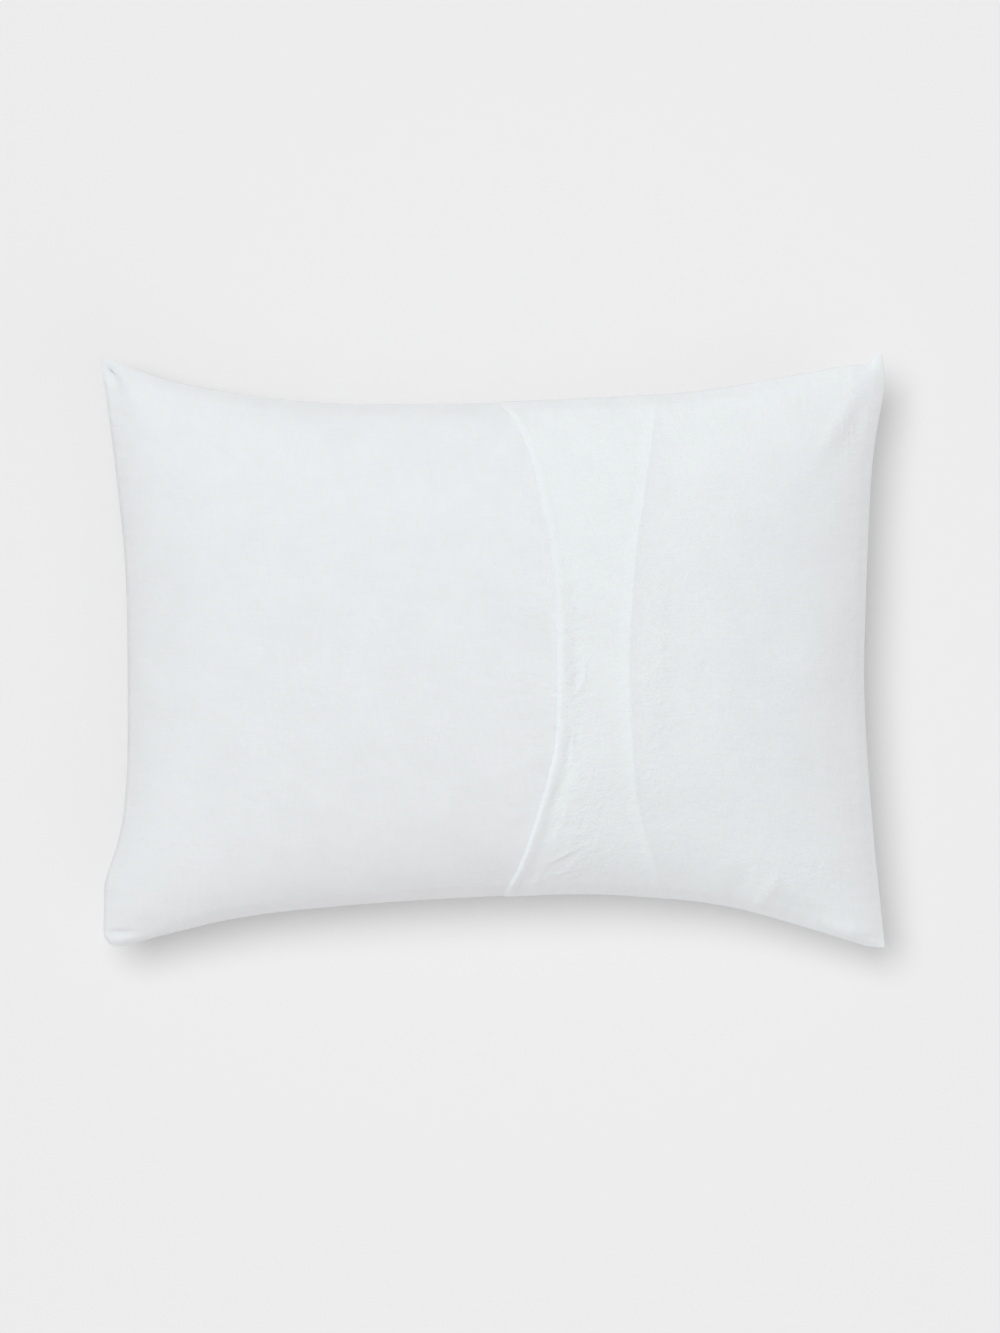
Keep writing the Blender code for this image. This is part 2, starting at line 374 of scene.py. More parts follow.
steps = [round(size / CELL) for size in FLAT_SIZE]
case_u, case_v = np.meshgrid(
    np.linspace(0, 1, steps[0] + 1), np.linspace(0, 1, steps[1] + 1)
)
back_start, front_start = first_shape(case_u, case_v)
print("cells:", steps, "crown at", round(float(back_start[..., 2].max()), 4))

# %% Filled case: settle it with Cloth
PRESSURE = 4.0
FRAMES = 20
CAP = 0.014  # the furthest that a point may move
STIFFNESS = {"tension": 40, "compression": 40, "shear": 10}
DAMPING = 10
SMALLEST = 1e-12  # keeps divisions by a length away from 0


def settle(back, front):
    """Inflate the closed case with Blender's Cloth and return its back and front grids.

    Both grids share their rim, which is pinned. The result is the start plus each
    point's move, shortened to the cap.
    """
    rows, columns, _ = back.shape
    upper = np.arange(rows * columns).reshape(rows, columns)
    inner = np.zeros((rows, columns), bool)
    inner[1:-1, 1:-1] = True
    lower = upper.copy()
    lower[inner] = rows * columns + np.arange(inner.sum())
    start = np.vstack([back.reshape(-1, 3), front[inner]])
    faces = np.vstack([quads(upper), quads(lower)[:, ::-1]])
    case = new_object("settling_case", start, faces)

    pinned = case.vertex_groups.new(name="seam")
    pinned.add(upper[~inner].tolist(), 1.0, "REPLACE")
    case.shape_key_add(name="filled")
    flat_key = case.shape_key_add(name="flat")
    flat = np.dstack(
        [case_u * FLAT_SIZE[0], case_v * FLAT_SIZE[1], np.full_like(case_u, CELL)]
    )
    flat_points = np.vstack([flat.reshape(-1, 3), flat[inner] - [0, 0, CELL]])
    flat_key.data.foreach_set("co", flat_points.ravel())
    flat_key.value = 0

    cloth = case.modifiers.new("Cloth", "CLOTH")
    settings = cloth.settings
    settings.quality = 6
    settings.air_damping = 2.0
    settings.bending_stiffness = 1.0
    for way, stiffness in STIFFNESS.items():
        setattr(settings, f"{way}_stiffness", stiffness)
        setattr(settings, f"{way}_damping", DAMPING)
    settings.use_pressure = True
    settings.uniform_pressure_force = PRESSURE
    settings.vertex_group_mass = "seam"
    settings.rest_shape_key = flat_key
    settings.effector_weights.gravity = 0
    cloth.collision_settings.use_collision = False
    cloth.point_cache.frame_end = FRAMES
    for frame_number in range(1, FRAMES + 1):
        bpy.context.scene.frame_set(frame_number)

    settled = case.evaluated_get(bpy.context.evaluated_depsgraph_get()).data
    points = np.empty(len(start) * 3)
    settled.vertices.foreach_get("co", points)
    move = points.reshape(-1, 3) - start
    length = np.linalg.norm(move, axis=1, keepdims=True)
    points = start + move * np.minimum(1, CAP / np.maximum(length, SMALLEST))
    bpy.data.objects.remove(case)
    bpy.context.scene.frame_set(1)
    print("settled: moved up to", round(float(length.max()), 4), "m")
    return points[upper], points[lower]


# %% Filled case: on the floor
def on_floor(front, full):
    """The front pressed on the floor: flat at 0, a parabola where it leaves the floor."""
    height = front[..., 2] - SINK * full
    near = np.clip((height + FLOOR_BLEND) / (2 * FLOOR_BLEND), 0, 1)
    flat = np.where(height > FLOOR_BLEND, height, FLOOR_BLEND * near**2)
    return np.dstack([front[..., 0], front[..., 1], flat])


case_back, case_front = settle(back_start, front_start)
case_front = on_floor(case_front, fullness(case_u, case_v))
print("height of the crown:", round(float(case_back[..., 2].max()), 4))

# %% [markdown]
# ## Reading the settled case between its points
#
# The cloths need points much closer than the simulation's, and along their own hems. So
# the settled grid is read between its points with a cubic through the four nearest ones
# each way, the Catmull-Rom curve, which passes through every point and stays smooth.


# %% Between the points of a grid
def cubic_weights(t):
    """Weights of the four neighbours at share t between the middle two."""
    return (
        -0.5 * t + t**2 - 0.5 * t**3,
        1 - 2.5 * t**2 + 1.5 * t**3,
        0.5 * t + 2 * t**2 - 1.5 * t**3,
        -0.5 * t**2 + 0.5 * t**3,
    )


def read_grid(grid, u, v):
    """Points of a grid at shares u and v, by a Catmull-Rom cubic along and across."""
    rows, columns = grid.shape[0] - 1, grid.shape[1] - 1
    padded = np.pad(grid, ((1, 1), (1, 1), (0, 0)), mode="reflect", reflect_type="odd")
    row, column = v * rows, u * columns
    row_start = np.clip(np.floor(row).astype(int), 0, rows - 1)
    column_start = np.clip(np.floor(column).astype(int), 0, columns - 1)
    row_weights = cubic_weights((row - row_start)[..., None])
    column_weights = cubic_weights((column - column_start)[..., None])
    total = 0.0
    for i, row_weight in enumerate(row_weights):
        for j, column_weight in enumerate(column_weights):
            point = padded[row_start + i, column_start + j]
            total = total + point * row_weight * column_weight
    return total


def outward_normals(surface):
    """Unit normals of a grid: the cross product of its two directions."""
    normal = np.cross(np.gradient(surface, axis=1), np.gradient(surface, axis=0))
    return normal / np.maximum(np.linalg.norm(normal, axis=2, keepdims=True), SMALLEST)


def row_distance(surface, column):
    """Distance along each row from one column, negative before it."""
    steps_along = np.linalg.norm(np.diff(surface, axis=1), axis=2)
    start = np.zeros((len(surface), 1))
    distance = np.concatenate([start, steps_along.cumsum(1)], axis=1)
    return distance - distance[:, column : column + 1]


middle = read_grid(case_back, np.array([[0.5]]), np.array([[0.5]]))
print("middle of the back:", middle.round(4).tolist())


# %% Steps and waves
def smooth_step(t):
    """0 below 0, 1 above 1, and t^2 (3 - 2t) between."""
    t = np.clip(t, 0, 1)
    return t * t * (3 - 2 * t)


def uneven(place, length):
    """An irregular wave of about this length, from -1 to 1: four sines out of step."""
    waves = ((0.40, 1.00, 0.3), (0.30, 0.62, 2.1), (0.20, 1.71, 4.0), (0.10, 0.37, 1.2))
    return sum(a * np.sin(2 * np.pi * place / (length * k) + p) for a, k, p in waves)


print("one uneven wave:", uneven(np.linspace(0, 1, 9), 1.0).round(2).tolist())

# %% [markdown]
# ## Columns that follow the hems
#
# Both back cloths are grids whose columns run along the hems, so a hem's edge is a clean
# line and not a staircase. Seen from above, the flap's free hem bows towards the right
# in the middle, where the crown pulls the envelope open, and the hidden hem bows to the
# left. Neither is an even bow, so each is a smooth curve through a few measured places:
# the share of the way up, and x in metres.

# %% Hem lines
HEM_LINES = {
    "flap": (
        (0.000, 0.0100), (0.050, 0.0238), (0.116, 0.0366), (0.187, 0.0478),
        (0.249, 0.0567), (0.290, 0.0612), (0.360, 0.0640), (0.440, 0.0645),
        (0.526, 0.0644), (0.620, 0.0625), (0.712, 0.0570), (0.802, 0.0479),
        (0.895, 0.0362), (0.945, 0.0258), (0.978, 0.0166), (1.000, 0.0040),
    ),
    "panel": (
        (0.000, 0.1735), (0.063, 0.1645), (0.114, 0.1557), (0.192, 0.1455),
        (0.267, 0.1412), (0.398, 0.1375), (0.517, 0.1370), (0.606, 0.1402),
        (0.685, 0.1436), (0.791, 0.1513), (0.905, 0.1600), (1.000, 0.1680),
    ),
    "corners": ((0.0, 0.3420), (1.0, 0.3420)),  # no hem: finer columns begin here
}
HEM = 0.0150
STITCH_IN = 0.0115  # from a hem's edge to its row of stitches
for line_name in ("flap", "panel"):
    print(line_name, "hem bows by", round(float(np.ptp([x for _, x in HEM_LINES[line_name]])), 4))

# %% Grid of the back cloths
COLUMNS = (  # groups of columns: the line where each ends, how far past it, and steps
    ("flap", 0.0, 110),
    ("flap", 0.0036, 6),
    ("flap", STITCH_IN - 0.0015, 5),  # two columns for the groove of the stitches
    ("flap", STITCH_IN, 2),
    ("flap", HEM + 0.003, 5),
    ("panel", -HEM - 0.003, 34),
    ("panel", 0.0, 14),
    ("panel", 0.014, 10),
    ("corners", 0.0, 58),
    ("right", 0.0, 40),
)
ROWS = 236
ROW_CROWD = 0.35  # rows stand closer near the seams by this share
FINE = 4001  # points along a row, read to find where a line crosses it


def hem_grid():
    """Shares u and v of the back's grid, and the column at which each group ends.

    Rows crowd towards the seams: v = t - crowd * sin(2 pi t) / (2 pi). Columns are
    evenly spaced between the lines on which two groups end.
    """
    t = np.linspace(0, 1, ROWS + 1)
    v = t - ROW_CROWD * np.sin(2 * np.pi * t) / (2 * np.pi)
    fine = np.linspace(0, 1, FINE)
    along_row = plan(fine[None, :], v[:, None])[..., 0]
    columns, ends = [np.zeros_like(v)], []
    for line_name, offset, steps in COLUMNS:
        start = columns[-1]
        if line_name == "right":
            end = np.ones_like(v)
        else:
            wanted = curve_through(HEM_LINES[line_name], v) + offset
            end = np.array([np.interp(x, row, fine) for x, row in zip(wanted, along_row)])
        shares = np.linspace(0, 1, steps + 1)[1:]
        columns += [start + (end - start) * share for share in shares]
        ends.append(len(columns) - 1)
    u = np.stack(columns, axis=1)
    return u, np.repeat(v[:, None], u.shape[1], axis=1), ends


back_u, back_v, ends = hem_grid()
free_edge, _, _, stitch_column, _, _, panel_edge, _, _, right_seam = ends
print("back grid:", back_u.shape, "columns of the hems:", free_edge, panel_edge)

# %% [markdown]
# ## Folds of the back
#
# The photograph shows soft folds where the filling ends: dents beside the corners, a
# ridge running in from the upper right one, and a pucker near the lower right. They are
# placed in millimetres of the real case. Each is a bell stretched along a line:
# height times e^-(along^2 + across^2), with the two lengths of its own. The cloth also
# dips in a soft trough on both sides of the free hem, the stiffest line of the back.

# %% Places of the folds
FOLDS = (  # x, y, length and width of the bell, its angle in degrees, its height
    ( 0.3500,  0.2320, 0.046, 0.0090,  58,  0.0019),
    ( 0.3660,  0.2260, 0.040, 0.0100,  62, -0.0015),
    ( 0.3540,  0.2190, 0.016, 0.0014,  92,  0.0006),
    ( 0.3590,  0.2140, 0.020, 0.0013,  88,  0.0006),
    ( 0.3645,  0.2240, 0.012, 0.0014,  94,  0.0005),
    ( 0.3800,  0.2380, 0.018, 0.0014,  86,  0.0005),
    ( 0.3740,  0.2680, 0.006, 0.0020,  30, -0.0006),
    ( 0.3280,  0.0000, 0.050, 0.0280,  80,  0.0034),
    ( 0.2790, -0.2430, 0.020, 0.0065,  60,  0.0019),
    ( 0.2490, -0.2380, 0.024, 0.0120,  72, -0.0015),
    ( 0.3110, -0.2650, 0.026, 0.0120, -20, -0.0030),
    ( 0.3640, -0.2870, 0.022, 0.0110, -22,  0.0042),
    ( 0.3850, -0.2915, 0.012, 0.0028, -20, -0.0020),
    ( 0.3910, -0.2940, 0.008, 0.0030, -10,  0.0012),
    (-0.3770, -0.2855, 0.018, 0.0034,  -3, -0.0032),
    (-0.3700, -0.2930, 0.016, 0.0045,  12,  0.0033),
    (-0.3500, -0.2760, 0.022, 0.0080,  10, -0.0016),
    (-0.3910,  0.2845, 0.015, 0.0090, -64, -0.0080),
    (-0.3800,  0.2500, 0.050, 0.0100, -84, -0.0026),
    (-0.3740,  0.2790, 0.018, 0.0060, -64,  0.0014),
    (-0.0040,  0.2420, 0.018, 0.0080,   0, -0.0016),
    (-0.3480, -0.0080, 0.003, 0.0020,  20, -0.0009),
    (-0.1200,  0.0900, 0.160, 0.1100,   0,  0.0030),
    ( 0.2300, -0.0600, 0.120, 0.1000,   0,  0.0025),
    (-0.2200, -0.1200, 0.130, 0.0900,   0, -0.0025),
)
TROUGHS = (
    {"offset": -0.012, "wide": 0.010, "depth": 0.0010},
    {"offset": 0.017, "wide": 0.0080, "depth": 0.0010},
)
TROUGH_STRENGTH = (
    (0.00, 0.3), (0.13, 0.8), (0.25, 1.2), (0.36, 0.6),
    (0.48, 1.0), (0.60, 0.5), (0.73, 0.1), (1.00, 0.0),
)
TIPS = (  # small moves of the corners: two blunt tips, a shoulder and a nib beside it
    {"x": -0.3935, "y": -0.3000, "reach": 0.0065, "move": (0.0042, 0.0028, 0.0)},
    {"x": -0.3975, "y": 0.2993, "reach": 0.0050, "move": (0.0006, -0.0022, 0.0)},
    {"x": 0.3830, "y": 0.2975, "reach": 0.0150, "move": (0.0, -0.0050, -0.0010)},
    {"x": 0.3922, "y": 0.2985, "reach": 0.0060, "move": (0.0, 0.0064, 0.0004)},
)
TROUGH_WAVE = {"length": 0.048, "share": 0.5}  # their depth also wavers by this share
SEAM_PUCKERS = {"length": 0.019, "height": 0.0003, "reach": 0.009}
FOLD_FADE = 0.006  # the folds die out this near the seams
print("folds:", len(FOLDS), "highest", max(height for *_, height in FOLDS), "m")


# %% Folds of the back
def fold_heights(x, y, table):
    """Sum of turned bells, each height * e^-((along / long)^2 + (across / wide)^2)."""
    total = np.zeros_like(x)
    for place_x, place_y, long, wide, angle, height in table:
        turn = math.radians(angle)
        east, north = x - place_x, y - place_y
        along = east * math.cos(turn) + north * math.sin(turn)
        across = north * math.cos(turn) - east * math.sin(turn)
        total += height * np.exp(-((along / long) ** 2) - (across / wide) ** 2)
    return total


def trough_depths(x, y, v):
    """Troughs along the free hem: depth * strength on the way up * e^-(across^2)."""
    depth = np.zeros_like(x)
    wave = TROUGH_WAVE["share"] * uneven(y, TROUGH_WAVE["length"])
    strength = curve_through(TROUGH_STRENGTH, v) * (1 + wave)
    for trough in TROUGHS:
        across = x - curve_through(HEM_LINES["flap"], v) - trough["offset"]
        depth += trough["depth"] * strength * np.exp(-((across / trough["wide"]) ** 2))
    return depth


def seam_puckers(u, v, surface):
    """Ripples across the seams, 0 on the seam, highest at their reach, then gone."""
    total = 0.0
    for share, size, along in ((v, FLAT_SIZE[1], 0), (u, FLAT_SIZE[0], 1)):
        away = np.minimum(share, 1 - share) * size / SEAM_PUCKERS["reach"]
        wave = uneven(surface[..., along], SEAM_PUCKERS["length"])
        total = total + SEAM_PUCKERS["height"] * wave * away * np.exp(1 - away)
    return total


def with_tips(surface):
    """Move the corners' tips: each move fades from its place as a round bell."""
    moved = surface.copy()
    for tip in TIPS:
        east, north = surface[..., 0] - tip["x"], surface[..., 1] - tip["y"]
        near = np.exp(-(east**2 + north**2) / tip["reach"] ** 2)
        moved += near[..., None] * np.array(tip["move"])
    return moved


def seam_fade(u, v, reach):
    """0 on the seam and 1 further in than its reach: 1 - e^-(distance^2)."""
    along = np.minimum(u, 1 - u) * FLAT_SIZE[0]
    across = np.minimum(v, 1 - v) * FLAT_SIZE[1]
    return 1 - np.exp(-((np.minimum(along, across) / reach) ** 2))


def back_surface(u, v):
    """The settled back moved along its normals by folds - troughs + puckers."""
    surface = read_grid(case_back, u, v)
    x, y = surface[..., 0], surface[..., 1]
    height = fold_heights(x, y, FOLDS) - trough_depths(x, y, v)
    height = height * seam_fade(u, v, FOLD_FADE) + seam_puckers(u, v, surface)
    return with_tips(surface + outward_normals(surface) * height[..., None])


back = back_surface(back_u, back_v)
back_normal = outward_normals(back)
print("back surface: up to", round(float(back[..., 2].max()), 4))

# %% [markdown]
# ## The cloths
#
# A cloth is a closed thin shell: an outer grid, an inner grid one thickness below it and
# a rounded rim. At a hem the cloth is turned twice, so three layers lie on each other
# for 15 mm. Solidify could give the thickness, but it can't change it at a hem, so both
# grids are worked out here. The UV map holds metres along the threads, and an attribute
# says how crumpled the cloth is at each place.

# %% Crumpled places
CRUMPLED = 0.55  # share of the finish's full crumpling that all the cloth shows
CRUMPLED_SPOTS = (  # where it is more crumpled: as for the folds, height an extra share
    ( 0.0940, -0.1750, 0.065, 0.0300,  90,  0.5500),
    ( 0.0800, -0.0400, 0.080, 0.0130,  90,  1.1000),
    ( 0.1650, -0.0300, 0.100, 0.0140,  90,  0.7000),
    ( 0.0450,  0.0500, 0.120, 0.0180,  90,  0.6000),
    ( 0.3200, -0.2250, 0.050, 0.0220,   0,  0.7000),
    ( 0.3620,  0.2250, 0.040, 0.0180,  90,  0.6000),
)
crumpled = CRUMPLED + fold_heights(back[..., 0], back[..., 1], CRUMPLED_SPOTS)
print("crumpling: up to", round(float(crumpled.max()), 2))


# %% A closed thin shell
def thin_shell(name, lower, upper, thread_u, thread_v, crumpled):
    """A closed cloth between two grids, with a rounded rim, thread map and crumpling.

    The rim has a middle line, half a thickness further out than the grids' edges.
    """
    rows, columns, _ = upper.shape
    count = rows * columns
    top = np.arange(count).reshape(rows, columns)
    bottom = top + count

    def around(grid):
        """The rim of a grid, once round."""
        return np.concatenate([grid[0, :-1], grid[:-1, -1], grid[-1, :0:-1], grid[:0:-1, 0]])

    rim_top, rim_bottom = around(top), around(bottom)
    points = np.vstack([upper.reshape(-1, 3), lower.reshape(-1, 3)])
    middle = (points[rim_top] + points[rim_bottom]) / 2
    inside = around(np.pad(top[1:-1, 1:-1], 1, mode="edge"))
    outwards = points[rim_top] - points[inside]
    outwards /= np.maximum(np.linalg.norm(outwards, axis=1, keepdims=True), SMALLEST)
    half = np.linalg.norm(points[rim_top] - points[rim_bottom], axis=1, keepdims=True) / 2
    print(name, "rim:", len(rim_top), "points, half its thickness up to", round(half.max(), 5))
    rim_middle = 2 * count + np.arange(len(rim_top))
    points = np.vstack([points, middle + outwards * half])

    def band(first, second):
        """Faces between two loops of the rim."""
        return np.stack([first, np.roll(first, -1), np.roll(second, -1), second], axis=-1)

    faces = np.vstack(
        [
            quads(top),
            quads(bottom)[:, ::-1],
            band(rim_bottom, rim_middle),
            band(rim_middle, rim_top),
        ]
    )
    piece = new_object(name, points, faces)
    flat_uv = np.stack([thread_u.ravel(), thread_v.ravel()], axis=1)
    point_uv = np.vstack([flat_uv, flat_uv, flat_uv[rim_top]])
    thread_layer = piece.data.uv_layers.new(name="cloth")
    thread_layer.data.foreach_set("uv", point_uv[faces.ravel()].ravel())
    crumpled = np.broadcast_to(crumpled, (rows, columns)).ravel()
    amounts = piece.data.attributes.new("crumpled", "FLOAT", "POINT")
    amounts.data.foreach_set("value", np.concatenate([crumpled, crumpled, crumpled[rim_top]]))
    return piece


# %% Layers and edges of a hem
CLOTH = 0.0007
GAP = 0.0003
SEW_FADE = 0.010  # the layers are pressed together this near the seam
HEM_STEP = 0.0025  # length of the step from three layers to one
HEM_STEP_EARLY = 0.0010  # it starts this far before the hem's inner edge


def hem_layers(distance):
    """Cloth thickness at a distance inside a hem's edge: three layers, then one."""
    return CLOTH * (3 - 2 * smooth_step((distance - HEM + HEM_STEP_EARLY) / HEM_STEP))


def rolled_edge(distance, radius):
    """A quarter circle, from 0 at the edge to 1 at its radius."""
    inside = np.clip(distance / radius, 0, 1)
    return np.sqrt(1 - (1 - inside) ** 2)


def raised(height):
    """The back surface moved outwards by a height at each point."""
    return back + back_normal * height[..., None]


sewn = seam_fade(np.full_like(back_u, 0.5), back_v, SEW_FADE)
from_free = row_distance(back, free_edge)
to_hidden = -row_distance(back, panel_edge)
print("hem: from", round(float(hem_layers(0)) * 1000, 2), "mm thick to", CLOTH * 1000, "mm")

# %% [markdown]
# ### The long back panel
#
# It comes from the left seam and ends under the flap. Only its hem shows there, as the
# soft step that it raises in the flap. The hem presses into the filling below it as much
# as it rises, so its lower side dips while its upper side swells.

# %% Back panel
PANEL_FLAT = (0.560, 0.600)
HIDDEN_RIDGE = 0.0014
RIDGE_RUN = {"up": 0.012, "down": 0.014}  # lengths of its rise and of the flap's fall
RIDGE_POWER = 1.5  # above 1, it swells late
ROLL_RADIUS = 0.0020  # of the turned edge
ROLLED_SHARE = 0.6  # of the ridge, which the turned edge takes down with it
PRESSED = 0.4  # share of a hem's thickness that is left in the seam

ridge = (1 - np.clip(to_hidden / RIDGE_RUN["up"], 0, 1)) ** RIDGE_POWER
ridge = HIDDEN_RIDGE * ridge * sewn
panel_high = GAP + CLOTH + ridge
panel_edge_drop = (1 - rolled_edge(to_hidden, ROLL_RADIUS)) * (CLOTH + ROLLED_SHARE * ridge)
panel_low = panel_high - hem_layers(to_hidden) * (PRESSED + (1 - PRESSED) * sewn)
panel_high = panel_high - panel_edge_drop * sewn

panel_part = slice(0, panel_edge + 1)
panel_share = row_distance(back, 0)[:, panel_part]
panel_share = panel_share / panel_share[:, -1:]
panel_cloth = thin_shell(
    "back_panel_cloth",
    raised(panel_low)[:, panel_part],
    raised(panel_high)[:, panel_part],
    panel_share * PANEL_FLAT[0],
    back_v[:, panel_part] * PANEL_FLAT[1],
    crumpled[:, panel_part],
)
panel_cloth.data.materials.append(washed_cloth)
print("back panel:", len(panel_cloth.data.polygons), "faces")

# %% [markdown]
# ### The flap
#
# It comes from the right seam, climbs onto the hidden hem and ends in its free hem. The
# free hem is the plumpest line of the back: its three layers make a soft roll near the
# edge, the stitches pull it down behind the roll, and their thread has shrunk in the
# wash, so the band ripples unevenly along its length. The roll is plump at the lower
# seam and nearly flat at the upper one, so its rise and height are curves too. Where it
# runs into the lower seam, fine puckers lead off it.

# %% Places of the flap's roll, ripples and puckers
FLAP_FLAT = (0.400, 0.600)
ROLL_RISE = ((0, 0.0040), (0.3, 0.0045), (0.5, 0.0062), (0.7, 0.0075), (1, 0.0062))
ROLL_HEIGHT = ((0, 0.0011), (0.25, 0.0010), (0.45, 0.0005), (0.7, 0.0001), (1, 0.0003))
ROLL_RUN = 0.0135  # from the top of the roll down to the single cloth
EDGE = 0.00015  # thickness of the folded edge itself, which lies on the panel
EDGE_GAP = 0.15  # share of the gap under the cloth that is left at that edge
THINNEST = 0.5  # share of its thickness that the cloth keeps in a pucker's dip
STITCH_GROOVE = {"depth": 0.00015, "wide": 0.0014}
HEM_RIPPLE = {"length": 0.012, "slant": 0.7, "height": 0.00035, "middle": 0.006, "wide": 0.006}
PUCKERS = (  # columns as for the folds
    ( 0.0486, -0.2237, 0.010, 0.0015,  50,  0.0009),
    ( 0.0735, -0.2044, 0.015, 0.0014,  27,  0.0013),
    ( 0.0750, -0.2072, 0.014, 0.0020,  27, -0.0010),
    ( 0.0480, -0.2305, 0.009, 0.0016,  27,  0.0009),
    ( 0.0700, -0.2222, 0.013, 0.0017,  16,  0.0010),
    ( 0.0640, -0.2150, 0.015, 0.0032,  25, -0.0010),
    ( 0.0806, -0.2140, 0.005, 0.0018,  40,  0.0011),
    ( 0.0860, -0.2182, 0.006, 0.0016,   8,  0.0008),
    ( 0.0775, -0.2265, 0.006, 0.0018,  24,  0.0007),
    ( 0.0650, -0.1830, 0.006, 0.0018,  70,  0.0008),
    ( 0.0890, -0.1760, 0.006, 0.0020,  62, -0.0009),
    ( 0.0730, -0.1640, 0.009, 0.0022,  84,  0.0007),
    ( 0.1040, -0.1950, 0.008, 0.0018,  75,  0.0006),
    ( 0.1110, -0.1600, 0.010, 0.0024,  70, -0.0007),
    ( 0.0760, -0.1000, 0.010, 0.0024,  82, -0.0013),
    ( 0.0805, -0.0930, 0.012, 0.0016,  88,  0.0009),
    ( 0.0640, -0.1430, 0.009, 0.0030,  72, -0.0012),
    ( 0.0925, -0.0200, 0.009, 0.0018,  90,  0.0007),
    ( 0.0890, -0.0350, 0.008, 0.0018,  60,  0.0008),
    ( 0.0815, -0.0425, 0.006, 0.0018,  20,  0.0007),
    ( 0.0850, -0.0250, 0.012, 0.0035,  84, -0.0006),
)
print("puckers:", len(PUCKERS))

# %% Flap
crest = GAP + CLOTH + HIDDEN_RIDGE * sewn
climb = np.where(
    to_hidden >= 0,
    GAP + CLOTH + ridge,
    crest * np.exp(np.minimum(to_hidden, 0) / RIDGE_RUN["down"]),
)
band = np.clip(from_free, 0, None)
roll_rise = curve_through(ROLL_RISE, back_v)
rise = smooth_step(band / roll_rise)
ripple_place = back[..., 1] + band * HEM_RIPPLE["slant"]
ripple = HEM_RIPPLE["height"] * uneven(ripple_place, HEM_RIPPLE["length"])
ripple = ripple * np.exp(-(((band - HEM_RIPPLE["middle"]) / HEM_RIPPLE["wide"]) ** 2))
roll = curve_through(ROLL_HEIGHT, back_v)
roll = roll * (1 - smooth_step((band - roll_rise) / ROLL_RUN))
groove = np.exp(-(((band - STITCH_IN) / STITCH_GROOVE["wide"]) ** 2))
groove = STITCH_GROOVE["depth"] * groove
puckers = fold_heights(back[..., 0], back[..., 1], PUCKERS) * sewn
lying = climb + GAP * (EDGE_GAP + (1 - EDGE_GAP) * rise)
flap_low = lying + np.maximum(puckers, 0)
thickness = EDGE + (CLOTH - EDGE + (roll + ripple - groove) * sewn) * rise
flap_high = lying + thickness + puckers
flap_high = np.maximum(flap_high, flap_low + THINNEST * thickness)

flap_part = slice(free_edge, None)
flap_share = -row_distance(back, right_seam)[:, flap_part]
flap_share = flap_share / flap_share[:, :1]
flap_cloth = thin_shell(
    "flap_cloth",
    raised(flap_low)[:, flap_part],
    raised(flap_high)[:, flap_part],
    FLAT_SIZE[0] - flap_share * FLAP_FLAT[0],
    back_v[:, flap_part] * FLAP_FLAT[1],
    crumpled[:, flap_part],
)
flap_cloth.data.materials.append(washed_cloth)
print("flap:", len(flap_cloth.data.polygons), "faces")

# %% [markdown]
# ### The filled front
#
# The front panel and the filling are one closed form. Its back lies under the two back
# cloths and doesn't show. Its front hangs one cloth's thickness lower than the settled
# shape, so the form ends in a rim as thick as the front panel all along the seam.

# %% Filled front
FRONT_CELL = 0.005
UNDER_BACK = 0.0020  # how far the filling lies below the back cloths, for their hems
UNDER_FADE = 0.020  # that depth dies out this near the seams

front_steps = [round(size / FRONT_CELL) for size in FLAT_SIZE]
front_u, front_v = np.meshgrid(
    np.linspace(0, 1, front_steps[0] + 1), np.linspace(0, 1, front_steps[1] + 1)
)
front_outer = read_grid(case_front, front_u, front_v)
front_ripple = seam_puckers(front_u, front_v, front_outer)[..., None]
front_outer = with_tips(front_outer - outward_normals(front_outer) * front_ripple)
front_outer[..., 2] = np.maximum(front_outer[..., 2] - CLOTH, 0)
front_inner = back_surface(front_u, front_v)
depth = UNDER_BACK * seam_fade(front_u, front_v, UNDER_FADE)
front_inner = front_inner - outward_normals(front_inner) * depth[..., None]
front_cloth = thin_shell(
    "filled_front_cloth",
    front_outer,
    front_inner,
    front_u * FLAT_SIZE[0],
    front_v * FLAT_SIZE[1],
    CRUMPLED,
)
front_cloth.data.materials.append(washed_cloth)
print("filled front:", len(front_cloth.data.polygons), "faces")

# %% [markdown]
# ## Stitches of the free hem
#
# The hem is held by one row of straight stitches, 2.6 mm long, in white cotton thread.
# They lie in the groove that they pull. Each is a small spindle: rings of points along
# a short line, whose radius swells in the middle and whose ends dive into the cloth.

# %% Stitches
STITCH_PITCH = 0.0032
STITCH_LENGTH = 0.0026
THREAD_RADIUS = 0.00028
RING_POINTS = 6
RINGS = 5
LAST_RING = 0.96  # place of the last ring, where 1 is the very end of a stitch


def even_places(line, pitch):
    """Points and directions every pitch along a line of points.

    A direction is the chord from a point to the place a quarter pitch further on.
    """
    length = np.linalg.norm(np.diff(line, axis=0), axis=1).cumsum()
    length = np.concatenate([[0], length])
    places = np.arange(pitch, length[-1] - pitch, pitch)

    def at(where):
        """Points at distances along the line."""
        return np.stack([np.interp(where, length, line[:, i]) for i in range(3)], axis=1)

    direction = at(places + pitch / 4) - at(places)
    return at(places), direction / np.linalg.norm(direction, axis=1, keepdims=True)


